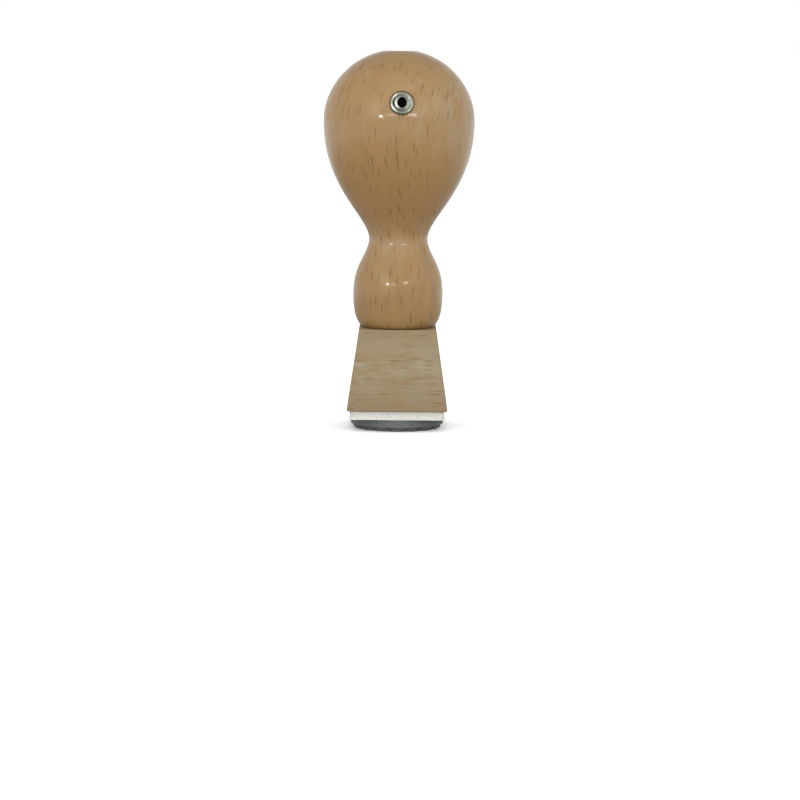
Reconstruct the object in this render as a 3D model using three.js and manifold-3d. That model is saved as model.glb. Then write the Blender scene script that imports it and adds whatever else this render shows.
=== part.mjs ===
// A small wooden hand stamp: a turned beech handle with a front mark, screwed to a tapered beech mount
// that carries a foam cushion and a round rubber die with a raised flower. Millimetres, +Z up, front
// towards -Y, with the origin at the centre of the printing face.
import * as THREE from "three";
import { mergeVertices, toCreasedNormals } from "three/addons/utils/BufferGeometryUtils.js";
import Module from "manifold-3d";

const wasm = await Module();
wasm.setup();

// Mount: a truncated pyramid of beech
const mountBase = 20;
const mountTop = 15.4;
const mountHeight = 16;
const mountEdgeEase = 0.15; // sanded flat along the top and bottom edges
const mountCornerRadius = 0.3;

// Cushion and the two adhesive films, under the mount
const cushionThickness = 1.6;
const cushionInset = 0.5; // in from the edge of the mount's underside
const cushionCornerRadius = 1;
const filmThickness = 0.15;

// Rubber die
const dieInset = 0.2; // in from the cushion's edge
const dieFloor = 1.5; // rubber behind the raised design
const reliefHeight = 0.8;
const reliefShoulder = 0.22; // how far each raised shape spreads from its face to its root
const reliefRoot = 0.25; // how deep the raised shapes are rooted in the floor

// Raised design: a scalloped border round a flower with dots between the tips of its petals
const borderMargin = 0.7; // rubber left outside the scallops
const borderWidth = 0.75; // at the notches between scallops
const scallopCount = 16;
const scallopDepth = 0.55;
const designGap = 0.95; // floor left clear between the border, the petals and the flower's eye
const petalCount = 8;
const petalWidth = 1.7;
const dotRadius = 0.5;
const flowerEyeRadius = 1.4;

// Handle: turned in one piece, heights from its foot
const handleHeight = 55;
const crownFlatRadius = 3.3;
const ballRadius = 15.1;
const crownRise = 14; // from the ball's widest point up to the crown
const neckRadius = 5.9;
const neckHeight = 17.7;
const bulbRadius = 9;
const bulbHeight = 7;
const footRadius = 6.8;
// How far each curve keeps upright where it leaves a widest or narrowest point, as a share of its rise
const ballPull = 0.576;
const neckUpPull = 0.185;
const neckDownPull = 0.281;
const bulbUpPull = 0.532;
const bulbDownPull = 0.3;
const footRoundRise = 0.8;
const footRoundInset = 0.15; // how far inside the bulb's width the foot's round aims

// Front mark: a drawn sheet-metal eyelet, pressed in square to the ball's surface. Its flange is a rounded
// collar, with a groove inside it, and from the groove it rises to a taller lip round the bore.
const eyeletRise = 4.1; // above the ball's widest point
const eyeletTurn = THREE.MathUtils.degToRad(2.1); // the handle is screwed on by hand, a little past square
const eyeletBoreRadius = 0.8;
const eyeletSheet = 0.2;
const eyeletFlangeRadius = 2.37;
const eyeletCollarCrest = 0.5;
const eyeletLipCrest = 0.64;
const eyeletLipRadius = 1; // of the lip's crest, close to the bore
const eyeletGrooveRadius = 1.6;
const eyeletGrooveHeight = 0.24;
const eyeletLength = 5;
const eyeletSink = 0.35; // how deep the flange's seat lies in the ball
const eyeletClearance = 0.13;

// Dowel screw: pointed at both ends, half in the handle and half in the mount
const screwRadius = 2;
const screwInHandle = 14;
const woodUnderScrew = 5; // left between the screw's lower point and the mount's underside
const screwPoint = 3;
const screwClearance = 0.1;
const drillPointHalfAngle = THREE.MathUtils.degToRad(59);

// Smoothness of the faceted surfaces
const handleSegments = 80;
const outlineSteps = 11; // along each of the handle's four curves
const smallSegments = 32; // round the eyelet, the screw and their holes
const beadSteps = 6; // over the eyelet's collar, up its lip and down into its bore
const cornerSteps = 4; // half the steps round each corner of the mount and the cushion
const dieSegments = 96;
const scallopSteps = 3; // half the steps along each scallop
const petalSteps = 10; // half the steps round each petal
const dotSteps = 5; // half the steps round each dot
const flowerEyeSteps = 12; // half the steps round the flower's eye
const creaseAngle = THREE.MathUtils.degToRad(28); // sharper corners than this look sharp

// Heights of the stack, from the printing face up
const dieThickness = reliefHeight + dieFloor;
const cushionUnderside = dieThickness + filmThickness;
const mountUnderside = cushionUnderside + cushionThickness + filmThickness;
const footPlane = mountUnderside + mountHeight;
const cushionSide = mountBase - 2 * cushionInset;
const dieRadius = cushionSide / 2 - dieInset;
const screwInMount = mountHeight - woodUnderScrew;

function solidOf(geometry) {
  const plain = new THREE.BufferGeometry().setIndex(geometry.index);
  plain.setAttribute("position", geometry.getAttribute("position"));
  const merged = mergeVertices(plain, 1e-4);
  return new wasm.Manifold(
    new wasm.Mesh({
      numProp: 3,
      vertProperties: merged.getAttribute("position").array,
      triVerts: new Uint32Array(merged.index.array),
    }),
  );
}

function geometryOf(solid) {
  const mesh = solid.getMesh();
  const geometry = new THREE.BufferGeometry();
  geometry.setAttribute("position", new THREE.BufferAttribute(mesh.vertProperties, mesh.numProp));
  geometry.setIndex(new THREE.BufferAttribute(mesh.triVerts, 1));
  return geometry;
}

// A body of revolution about +Z, from (radius, height) points that run upwards on the outside.
function turned(outline, segments) {
  return new THREE.LatheGeometry(outline, segments).rotateX(Math.PI / 2);
}

// A drilled hole's shape: mouth at z = 0, going down, with a little above the mouth so that it cuts clean.
function drilledHole(radius, depth, segments) {
  const overrun = 2 * radius;
  return turned(
    [
      new THREE.Vector2(0, -depth - radius / Math.tan(drillPointHalfAngle)),
      new THREE.Vector2(radius, -depth),
      new THREE.Vector2(radius, overrun),
      new THREE.Vector2(0, overrun),
    ],
    segments,
  );
}

// Drops each outline point that repeats the one before it, or the first one.
function withoutRepeats(points) {
  const apart = (a, b) => a.distanceTo(b) > 1e-6;
  const kept = points.filter((p, i) => i === 0 || apart(p, points[i - 1]));
  return apart(kept[0], kept[kept.length - 1]) ? kept : kept.slice(0, -1);
}

function roundedSquare(side, radius) {
  const half = side / 2;
  const shape = new THREE.Shape();
  shape.absarc(half - radius, half - radius, radius, 0, Math.PI / 2);
  shape.absarc(radius - half, half - radius, radius, Math.PI / 2, Math.PI);
  shape.absarc(radius - half, radius - half, radius, Math.PI, 1.5 * Math.PI);
  shape.absarc(half - radius, radius - half, radius, 1.5 * Math.PI, 2 * Math.PI);
  shape.closePath();
  return shape;
}

// A solid through a stack of rounded squares, each { z, side, radius }, bottom first.
function loftedSquares(levels) {
  const rings = levels.map(({ z, side, radius }) => {
    const ring = withoutRepeats(roundedSquare(side, radius).getPoints(cornerSteps));
    return ring.map((p) => new THREE.Vector3(p.x, p.y, z));
  });
  const count = rings[0].length;
  const corners = [];
  const face = (a, b, c) => corners.push(a, b, c);
  for (let level = 1; level < rings.length; level++) {
    const [low, high] = [rings[level - 1], rings[level]];
    for (let i = 0; i < count; i++) {
      const next = (i + 1) % count;
      face(low[i], low[next], high[next]);
      face(low[i], high[next], high[i]);
    }
  }
  const [bottom, top] = [rings[0], rings[rings.length - 1]];
  for (let i = 1; i < count - 1; i++) {
    face(bottom[0], bottom[i + 1], bottom[i]);
    face(top[0], top[i], top[i + 1]);
  }
  return new THREE.BufferGeometry().setFromPoints(corners);
}

function sheetOf(shape, thickness, curveSegments) {
  return new THREE.ExtrudeGeometry(shape, { depth: thickness, bevelEnabled: false, curveSegments });
}

// Handle outline, from the foot's centre up the outside to the crown's centre
const ballHeight = handleHeight - crownRise;
const crownAngle = Math.acos(crownFlatRadius / ballRadius);
const crownSemiAxis = crownRise / Math.sin(crownAngle);

function handleOutline() {
  const neckToBulb = neckHeight - bulbHeight;
  const ballToNeck = ballHeight - neckHeight;
  const foot = new THREE.Vector2(footRadius, 0);
  const bulb = new THREE.Vector2(bulbRadius, bulbHeight);
  const neck = new THREE.Vector2(neckRadius, neckHeight);
  const ball = new THREE.Vector2(ballRadius, ballHeight);
  const raised = (point, rise) => new THREE.Vector2(point.x, point.y + rise);
  const footRound = new THREE.Vector2(bulbRadius - footRoundInset, footRoundRise);
  const aboveBulb = raised(bulb, bulbUpPull * neckToBulb);
  const belowNeck = raised(neck, -neckDownPull * neckToBulb);
  const aboveNeck = raised(neck, neckUpPull * ballToNeck);
  const belowBall = raised(ball, -ballPull * ballToNeck);
  const curves = [
    new THREE.CubicBezierCurve(foot, footRound, raised(bulb, -bulbDownPull * bulbHeight), bulb),
    new THREE.CubicBezierCurve(bulb, aboveBulb, belowNeck, neck),
    new THREE.CubicBezierCurve(neck, aboveNeck, belowBall, ball),
    new THREE.EllipseCurve(0, ballHeight, ballRadius, crownSemiAxis, 0, crownAngle),
  ];
  const curved = curves.flatMap((curve) => curve.getPoints(outlineSteps));
  return [new THREE.Vector2(0, 0), ...withoutRepeats(curved), new THREE.Vector2(0, handleHeight)];
}

// Where the eyelet's flange sits, in the handle's frame: square to the ball, facing the front.
function eyeletSeat() {
  const angle = Math.asin(eyeletRise / crownSemiAxis);
  const out = Math.cos(angle) / ballRadius;
  const up = Math.sin(angle) / crownSemiAxis;
  const normal = new THREE.Vector3(0, -out, up).normalize();
  const surface = new THREE.Vector3(0, -ballRadius * Math.cos(angle), ballHeight + eyeletRise);
  return {
    position: surface.addScaledVector(normal, -eyeletSink),
    quaternion: new THREE.Quaternion().setFromUnitVectors(new THREE.Vector3(0, 0, 1), normal),
  };
}

function handleGeometry() {
  const seat = eyeletSeat();
  const seatMatrix = new THREE.Matrix4().compose(seat.position, seat.quaternion, new THREE.Vector3(1, 1, 1));
  const seatRadius = eyeletFlangeRadius + eyeletClearance;
  const pocket = turned(
    [
      new THREE.Vector2(0, -eyeletClearance),
      new THREE.Vector2(seatRadius, -eyeletClearance),
      new THREE.Vector2(seatRadius, eyeletFlangeRadius),
      new THREE.Vector2(0, eyeletFlangeRadius),
    ],
    smallSegments,
  ).applyMatrix4(seatMatrix);
  const eyeletHole = drilledHole(
    eyeletBoreRadius + eyeletSheet + eyeletClearance,
    eyeletLength + eyeletClearance,
    smallSegments,
  ).applyMatrix4(seatMatrix);
  const screwHole = drilledHole(screwRadius + screwClearance, screwInHandle, smallSegments).rotateX(Math.PI);
  return geometryOf(
    solidOf(turned(handleOutline(), handleSegments))
      .subtract(solidOf(pocket))
      .subtract(solidOf(eyeletHole))
      .subtract(solidOf(screwHole)),
  );
}

// The drawn sheet: up the outside of the barrel, along the underside with the hollow of the collar, then
// over the collar, through the groove, over the lip and down the bore.
function eyeletGeometry() {
  const collarTurn = Math.asin(eyeletGrooveHeight / eyeletCollarCrest);
  const collarHalf = (eyeletFlangeRadius - eyeletGrooveRadius) / (1 + Math.cos(collarTurn));
  const collarCentre = eyeletFlangeRadius - collarHalf;
  const lipTurn = Math.asin(eyeletGrooveHeight / eyeletLipCrest);
  const lipRise = (eyeletGrooveRadius - eyeletLipRadius) / Math.cos(lipTurn);
  const lipFall = eyeletLipRadius - eyeletBoreRadius;
  const arc = (centre, half, crest, from, to) => {
    return new THREE.EllipseCurve(centre, 0, half, crest, from, to).getPoints(beadSteps);
  };
  const hollow = arc(collarCentre, collarHalf - eyeletSheet, eyeletCollarCrest - eyeletSheet, 0, Math.PI);
  const outline = withoutRepeats([
    new THREE.Vector2(eyeletBoreRadius + eyeletSheet, -eyeletLength),
    new THREE.Vector2(eyeletBoreRadius + eyeletSheet, 0),
    ...hollow.reverse(),
    ...arc(collarCentre, collarHalf, eyeletCollarCrest, 0, Math.PI - collarTurn),
    ...arc(eyeletLipRadius, lipRise, eyeletLipCrest, lipTurn, Math.PI / 2),
    ...arc(eyeletLipRadius, lipFall, eyeletLipCrest, Math.PI / 2, Math.PI),
    new THREE.Vector2(eyeletBoreRadius, -eyeletLength),
  ]);
  return turned([...outline, outline[0].clone()], smallSegments);
}

function dowelScrewGeometry() {
  return turned(
    [
      new THREE.Vector2(0, -screwInMount),
      new THREE.Vector2(screwRadius, screwPoint - screwInMount),
      new THREE.Vector2(screwRadius, screwInHandle - screwPoint),
      new THREE.Vector2(0, screwInHandle),
    ],
    smallSegments,
  );
}

function mountGeometry() {
  const level = (z, side, radius) => ({ z, side, radius });
  const eased = 2 * mountEdgeEase;
  const block = loftedSquares([
    level(0, mountBase - eased, mountCornerRadius),
    level(mountEdgeEase, mountBase, mountCornerRadius),
    level(mountHeight - mountEdgeEase, mountTop, mountCornerRadius),
    level(mountHeight, mountTop - eased, mountCornerRadius),
  ]);
  const hole = drilledHole(screwRadius + screwClearance, screwInMount, smallSegments);
  return geometryOf(solidOf(block).subtract(solidOf(hole.translate(0, 0, mountHeight))));
}

function roundShape(radius) {
  return new THREE.Shape().absarc(0, 0, radius, 0, 2 * Math.PI);
}

// A circle in its own number of steps, running the way that cuts a hole in a shape
function circularHole(radius, segments) {
  const circle = new THREE.Path().absarc(0, 0, radius, 0, 2 * Math.PI, true);
  return new THREE.Path(circle.getPoints(segments / 2));
}

// The border: its outside is a ring of arcs, each from notch to notch through the outer radius.
const borderRadius = dieRadius - borderMargin;
const notchRadius = borderRadius - scallopDepth;
const borderInnerRadius = notchRadius - borderWidth;

function scallopedBorder() {
  const halfPitch = Math.PI / scallopCount;
  const notchAlong = notchRadius * Math.cos(halfPitch);
  const notchAcross = notchRadius * Math.sin(halfPitch);
  const arcCentre = (borderRadius ** 2 - notchRadius ** 2) / (2 * (borderRadius - notchAlong));
  const arcRadius = borderRadius - arcCentre;
  const halfArc = Math.atan2(notchAcross, notchAlong - arcCentre);
  const border = new THREE.Shape();
  for (let i = 0; i < scallopCount; i++) {
    const facing = 2 * halfPitch * i;
    const centre = new THREE.Vector2(arcCentre, 0).rotateAround(new THREE.Vector2(), facing);
    border.absarc(centre.x, centre.y, arcRadius, facing - halfArc, facing + halfArc);
  }
  border.closePath();
  border.holes.push(circularHole(borderInnerRadius, dieSegments));
  return border;
}

// Petals run from the flower's eye to the border, with the same gap at both ends.
function petal(index) {
  const facing = (2 * Math.PI * index) / petalCount;
  const innerEnd = flowerEyeRadius + designGap;
  const outerEnd = borderInnerRadius - designGap;
  const middle = new THREE.Vector2((innerEnd + outerEnd) / 2, 0).rotateAround(new THREE.Vector2(), facing);
  const halfLength = (outerEnd - innerEnd) / 2;
  const outline = new THREE.Shape();
  return outline.absellipse(middle.x, middle.y, halfLength, petalWidth / 2, 0, 2 * Math.PI, false, facing);
}

function dot(index) {
  const facing = (2 * Math.PI * (index + 0.5)) / petalCount;
  const fromCentre = borderInnerRadius - designGap - dotRadius;
  const centre = new THREE.Vector2(fromCentre, 0).rotateAround(new THREE.Vector2(), facing);
  return new THREE.Shape().absarc(centre.x, centre.y, dotRadius, 0, 2 * Math.PI);
}

// A raised shape has its printing face at the top, and shoulders that slope out to a root in the floor.
function raisedShape(shape, curveSegments) {
  return new THREE.ExtrudeGeometry(shape, {
    depth: reliefRoot,
    bevelThickness: reliefHeight,
    bevelSize: reliefShoulder,
    bevelSegments: 1,
    curveSegments,
  }).translate(0, 0, dieFloor - reliefRoot);
}

function disc(radius, thickness, z) {
  return new THREE.CylinderGeometry(radius, radius, thickness, dieSegments)
    .rotateX(Math.PI / 2)
    .translate(0, 0, z + thickness / 2);
}

// Made with its design upwards, then turned over so that the design faces down
function dieGeometry() {
  const each = (count, make) => Array.from({ length: count }, (_, index) => make(index));
  const design = [
    raisedShape(scallopedBorder(), scallopSteps),
    ...each(petalCount, (index) => raisedShape(petal(index), petalSteps)),
    ...each(petalCount, (index) => raisedShape(dot(index), dotSteps)),
    raisedShape(roundShape(flowerEyeRadius), flowerEyeSteps),
  ];
  const raised = design.map(solidOf).reduce((joined, shape) => joined.add(shape));
  const fromRootUp = disc(dieRadius, reliefRoot + 2 * reliefHeight, dieFloor - reliefRoot);
  const rubber = solidOf(disc(dieRadius, dieFloor, 0)).add(raised.intersect(solidOf(fromRootUp)));
  return geometryOf(rubber).rotateX(Math.PI).translate(0, 0, dieThickness);
}

function material(color, roughness, metalness = 0) {
  return new THREE.MeshStandardMaterial({ color, roughness, metalness });
}

const lacqueredBeech = material("#a4855f", 0.25);
const sandedBeech = material("#a49276", 0.75);
const nickel = material("#c9c7b8", 0.2, 1);
const steel = material("#8d8f92", 0.4, 1);
const adhesiveFilm = material("#d9d6c8", 0.5);
const whiteFoam = material("#e4e2da", 0.9);
const greyRubber = material("#6f7173", 0.8);

function piece(name, geometry, finish, z = 0) {
  const mesh = new THREE.Mesh(toCreasedNormals(geometry, creaseAngle), finish);
  mesh.name = name;
  mesh.position.z = z;
  return mesh;
}

const stamp = new THREE.Group();

const cushionOutline = roundedSquare(cushionSide, cushionCornerRadius);
const dieTape = sheetOf(roundShape(dieRadius), filmThickness, dieSegments / 2);
const cushion = sheetOf(cushionOutline, cushionThickness, cornerSteps);
const mountTape = sheetOf(cushionOutline, filmThickness, cornerSteps);
stamp.add(
  piece("rubber_die", dieGeometry(), greyRubber),
  piece("die_tape", dieTape, adhesiveFilm, dieThickness),
  piece("cushion", cushion, whiteFoam, cushionUnderside),
  piece("mount_tape", mountTape, adhesiveFilm, cushionUnderside + cushionThickness),
  piece("mount_block", mountGeometry(), sandedBeech, mountUnderside),
);

// The handle, its screw and its front mark share a frame that stands on the mount.
const handleAssembly = new THREE.Group();
handleAssembly.position.z = footPlane;
handleAssembly.rotation.z = eyeletTurn;
const frontMark = piece("front_mark_eyelet", eyeletGeometry(), nickel);
const seat = eyeletSeat();
frontMark.position.copy(seat.position);
frontMark.quaternion.copy(seat.quaternion);
handleAssembly.add(
  piece("handle", handleGeometry(), lacqueredBeech),
  piece("dowel_screw", dowelScrewGeometry(), steel),
  frontMark,
);
stamp.add(handleAssembly);

export default stamp;
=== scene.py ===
"""A small wooden hand stamp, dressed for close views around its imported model.

A turned and lacquered beech handle, with a plated eyelet as its front mark, stands on a sanded beech mount
that carries a foam cushion and a round rubber die with a raised flower. Shapes are drawn in millimetres and
stored in metres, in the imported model's frame: +Z runs up the handle, -Y is the front, and the origin is the
centre of the printing face.
"""

import logging
import random
from bisect import bisect_right
from collections.abc import Callable, Sequence
from dataclasses import dataclass
from enum import Enum
from functools import partial
from math import acos, asin, atan2, cos, degrees, pi, radians, sin, sqrt, tan, tau
from typing import ClassVar

import bmesh
import bpy
from bmesh.types import BMesh, BMVert
from bpy.types import Material, Mesh, Node, NodeSocket, NodeTree, Object
from mathutils import Matrix, Vector


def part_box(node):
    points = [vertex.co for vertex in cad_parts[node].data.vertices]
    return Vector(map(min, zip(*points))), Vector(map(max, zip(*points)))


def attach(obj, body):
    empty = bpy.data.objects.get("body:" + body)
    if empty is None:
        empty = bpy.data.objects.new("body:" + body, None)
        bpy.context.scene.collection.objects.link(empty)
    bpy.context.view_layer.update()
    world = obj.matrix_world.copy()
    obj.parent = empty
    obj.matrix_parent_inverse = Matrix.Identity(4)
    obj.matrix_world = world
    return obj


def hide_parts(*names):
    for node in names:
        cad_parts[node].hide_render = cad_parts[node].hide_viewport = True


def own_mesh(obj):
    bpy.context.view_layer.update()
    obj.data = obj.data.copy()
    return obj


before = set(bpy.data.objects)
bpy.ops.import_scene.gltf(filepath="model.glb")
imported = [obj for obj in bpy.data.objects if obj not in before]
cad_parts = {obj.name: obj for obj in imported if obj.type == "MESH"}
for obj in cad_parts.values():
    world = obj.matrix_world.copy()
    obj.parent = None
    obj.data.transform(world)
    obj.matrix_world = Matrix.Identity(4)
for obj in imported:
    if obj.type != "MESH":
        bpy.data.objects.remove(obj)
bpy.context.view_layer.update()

MM = 0.001
# segments of rounds
FINE_ROUND, ROUND, SHAPE_ROUND, HOLE_ROUND, DOT_ROUND = 192, 96, 72, 64, 40
log = logging.getLogger("wooden_stamp")

Pair = tuple[float, float]
Triple = tuple[float, float, float]
Outline = list[Pair]
Points = list[Vector]
Adder = Callable[..., Node]

# the setting that a node's kind may name after a dot
MAIN_SETTING = {
    "Math": "operation",
    "VectorMath": "operation",
    "Mix": "data_type",
    "MapRange": "interpolation_type",
    "TexVoronoi": "feature",
}


def linear(code: str) -> tuple[float, float, float, float]:
    """Turns an sRGB hex colour into the linear one that the shaders take.

    Args:
        code: six hex digits with a leading #.

    Returns:
        Red, green, blue and a full alpha, linear.
    """
    channels = [int(code[at : at + 2], 16) / 255 for at in (1, 3, 5)]
    plain = [c / 12.92 if c <= 0.04045 else ((c + 0.055) / 1.055) ** 2.4 for c in channels]
    return (*plain, 1.0)


def fill_sockets(node: Node, inputs: dict) -> None:
    """Fills some of a node's sockets.

    Args:
        node: the node.
        inputs: by socket name or number, a value to set, a colour's hex code, an output to link, or a node
            whose first output in use is linked.
    """
    for name, value in inputs.items():
        if isinstance(value, str):
            value = linear(value)
        if isinstance(value, Node):
            value = next(output for output in value.outputs if output.enabled)
        if isinstance(value, NodeSocket):
            node.id_data.links.new(value, node.inputs[name])
        else:
            node.inputs[name].default_value = value


def add_node(tree: NodeTree, kind: str, *inputs: object, **named: object) -> Node:
    """Adds one node to a tree, with its settings and what goes into its sockets.

    Args:
        tree: what it goes into.
        kind: the node's type, without the word that all shader nodes start with, and after a dot its main
            setting.
        inputs: what goes into its sockets in use, from the first one on, as fill_sockets takes it. For a
            MapRange these are a value, the range that it comes from and the range that it is brought to.
        named: what goes into the socket of that name, or a setting of that name.

    Returns:
        The new node.
    """
    kind, _, main = kind.partition(".")
    node = tree.nodes.new(f"ShaderNode{kind}")
    if main:
        setattr(node, MAIN_SETTING[kind], main)
    sockets = {name: value for name, value in named.items() if name in node.inputs}
    for name, value in named.items():
        if name not in sockets:
            setattr(node, name, value)
    in_use = [at for at, socket in enumerate(node.inputs) if socket.enabled]
    fill_sockets(node, dict(zip(in_use, inputs)) | sockets)
    return node


def soft_band(add: Adder, run: NodeSocket | Node, middle: float, reach: float, strength: float = 1.0) -> Node:
    """Marks a soft-edged band of a coordinate.

    Args:
        add: adds a node to the tree.
        run: the coordinate.
        middle: where the band is strongest.
        reach: how far from there it has faded out.
        strength: what it has in its middle.

    Returns:
        The node that gives the band, from its strength down to 0.
    """
    away = add("Math.ABSOLUTE", add("Math.SUBTRACT", run, middle))
    return add("MapRange.SMOOTHSTEP", away, 0.0, reach, strength, 0.0)


class Body(Enum):
    """The two bodies that the pieces ride on."""

    STAMP = "stamp"
    DIE = "die"


class Grain(Enum):
    """Which way a piece of wood was sawn: where its tangential, radial and grain directions point."""

    UP_THE_HANDLE = ("X", "Y", "Z")
    ACROSS_THE_MOUNT = ("Z", "Y", "X")


class Run(Enum):
    """Which of the wood's directions is meant, by its place in the grain's."""

    ACROSS = 0
    ALONG = 2


# Finishes


def blank_material(name: str, kind: str = "BsdfPrincipled") -> tuple[Material, Adder, Node, Node]:
    """Starts a node material.

    Args:
        name: the material's name.
        kind: its shader.

    Returns:
        The material, what adds a node to it, its shader, already joined to the output, and a node that gives
        the place on the piece in mm.
    """
    material = bpy.data.materials.new(name)
    material.use_nodes = True
    material.node_tree.nodes.clear()
    add = partial(add_node, material.node_tree)
    shader = add(kind)
    add("OutputMaterial", shader)
    place = add("VectorMath.SCALE", add("TexCoord").outputs["Object"], 1 / MM)
    return material, add, shader, place


@dataclass(frozen=True)
class Stretch:
    """A soft-ended stretch of a piece drawn in another tone. Most are painted light and painted shade: paler
    or darker stretches where light falls on the piece unevenly.
    """

    run: Run
    middle: float  # mm
    reach: float  # mm from its middle to where it has faded out
    tone: str
    strength: float = 1.0


@dataclass(frozen=True)
class Beech:
    """Steamed European beech, the wood of both wooden pieces, as a solid figure that runs right through.

    Beech is told by its ray flecks: short brown spindles along the grain on flat-sawn faces, wide and faint
    ribbons on quarter-sawn ones, and fine radial lines on end grain. One solid pattern of thin, tall and deep
    cells gives all three.
    """

    name: str
    grain: Grain
    base: str  # clear wood between the flecks
    dark: str  # where the growth rings are denser
    warm: str  # blotches that took up more colour
    end_grain: str  # where the pores stand open to the surface
    fleck: str
    red_fleck: str
    fleck_share: float  # of the cells that hold a fleck
    fleck_strength: float
    # mostly painted light and painted shade: paler or darker stretches where light falls unevenly
    light_and_tone_stretches: tuple[Stretch, ...]
    wander: float = 0.0  # mm that the grain sways sideways, where it sways most
    wander_reach: Pair = (18.0, 75.0)  # mm along the grain where the sway begins and is full
    wander_pitch: float = 52.0  # mm from one sway to the next
    wander_crest: float = 57.0  # mm along the grain where a sway is furthest out
    unevenness: float = 1.6  # mm that it differs from place to place
    ring_pitch: float = 2.3  # mm that the tree grew in a year
    ring_bow: float = 0.012  # per mm: the rings' curve, for a board from near the middle of the tree
    ring_strength: float = 0.6
    ribbon_strength: float = 0.4  # of the flecks', on quarter-sawn faces
    pore_strength: float = 0.32
    cell: Triple = (0.66, 3.4, 4.6)  # mm across, deep and along one fleck's cell
    long_cell: Triple = (1.05, 3.4, 9.5)  # likewise for the few long ones
    pore_cell: Triple = (0.3, 1.6, 2.4)  # mm, open pores cut along their length
    board_end: float = 0.0  # cells from the board's end; each place in a board has its own flecks

    def figure(self, add: Adder, place: Node) -> tuple[Node, Node]:
        """Draws the wood's figure, with its stretches of painted light and painted shade.

        Args:
            add: adds a node to the material.
            place: the place on the piece in mm.

        Returns:
            The colour, and a height between 0 and 1 that dips at flecks and pores.
        """
        axes = add("SeparateXYZ", place)
        runs = [axes.outputs[axis] for axis in self.grain.value]
        facing = add("SeparateXYZ", add("TexCoord").outputs["Normal"])
        side_on, face_on, end_on = (add("Math.ABSOLUTE", facing.outputs[axis]) for axis in self.grain.value)
        wood = self.swaying(add, place, runs)

        # flecks fade to faint ribbons where the surface runs along the rays
        short, tone = self.cells(add, wood, self.cell, self.fleck_share, core=0.08, rim=0.5)
        long, _ = self.cells(add, wood, self.long_cell, share=0.3, core=0.04, rim=0.44)
        fleck = add("Math.MAXIMUM", short, long)
        pore, _ = self.cells(add, wood, self.pore_cell, share=0.6, core=0.08, rim=0.4)
        faint = self.ribbon_strength * self.fleck_strength
        clear = add("MapRange", side_on, 0.5, 0.95, self.fleck_strength, faint)
        flecked = add("Math.MULTIPLY", fleck, clear)
        pored = add("Math.MULTIPLY", pore, self.pore_strength)
        fleck_tone = add("Mix.RGBA", add("MapRange", tone, 0.62, 1.0), self.fleck, self.red_fleck)

        # soft bands that are long up the grain and a few millimetres wide, and blotches of deeper colour
        bands = self.patches(add, wood, (0.34, 0.16, 0.018), low=0.32, high=0.68, most=1.0)
        blotches = self.patches(add, wood, (0.4, 0.4, 0.17), low=0.4, high=0.64, most=0.85)
        fibres = self.patches(add, wood, (2.6, 0.9, 0.16), low=0.4, high=0.7, most=0.6)
        layers: list[tuple[Node, str | Node]] = [(bands, self.dark)]
        # stretches of painted light and painted shade, laid over the figure
        for part in self.light_and_tone_stretches:
            share = soft_band(add, runs[part.run.value], part.middle, part.reach, part.strength)
            layers.append((share, part.tone))
        layers += [
            (blotches, self.warm),
            (self.growth(add, wood, face_on), self.dark),
            (fibres, self.dark),
            (add("MapRange.SMOOTHSTEP", end_on, 0.5, 1.0, 0.0, 0.8), self.end_grain),
            (pored, self.fleck),
            (flecked, fleck_tone),
        ]
        colour: str | Node = self.base
        for share, tint in layers:
            colour = add("Mix.RGBA", share, colour, tint)
        return colour, add("Math.SUBTRACT", 1.0, add("Math.MAXIMUM", fleck, pore))

    def swaying(self, add: Adder, place: Node, runs: Sequence[NodeSocket]) -> Node:
        """Lets the grain sway: a slow wave along it, with a little unevenness from place to place.

        Args:
            add: adds a node to the material.
            place: the place on the piece in mm.
            runs: its coordinates across, into and along the grain.

        Returns:
            The node that gives these three with the grain straightened.
        """
        across, depth, along = runs
        begin, full = self.wander_reach
        turn = add("Math.SUBTRACT", along, self.wander_crest)
        wave = add("Math.COSINE", add("Math.MULTIPLY", turn, tau / self.wander_pitch))
        slow = add("TexNoise", place, Scale=0.07, Detail=1.0)
        uneven = add("Math.MULTIPLY_ADD", slow, self.unevenness, -self.unevenness / 2)
        reach = add("MapRange", along, begin, full, 0.0, self.wander)
        swayed = add("Math.MULTIPLY_ADD", wave, reach, across)
        return add("CombineXYZ", add("Math.ADD", swayed, uneven), depth, along)

    @staticmethod
    def patches(add: Adder, wood: Node, finer: Triple, low: float, high: float, most: float) -> Node:
        """Scatters soft patches.

        Args:
            add: adds a node to the material.
            wood: coordinates in mm across, into and along the grain.
            finer: patches per mm, in that order.
            low: the noise where a patch begins.
            high: the noise where it is full.
            most: its full strength.

        Returns:
            The node that gives the patches as a share.
        """
        scaled = add("VectorMath.MULTIPLY", wood, finer)
        noise = add("TexNoise", scaled, Scale=1.0, Detail=3.0, Roughness=0.6)
        return add("MapRange", noise, low, high, 0.0, most)

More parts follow.
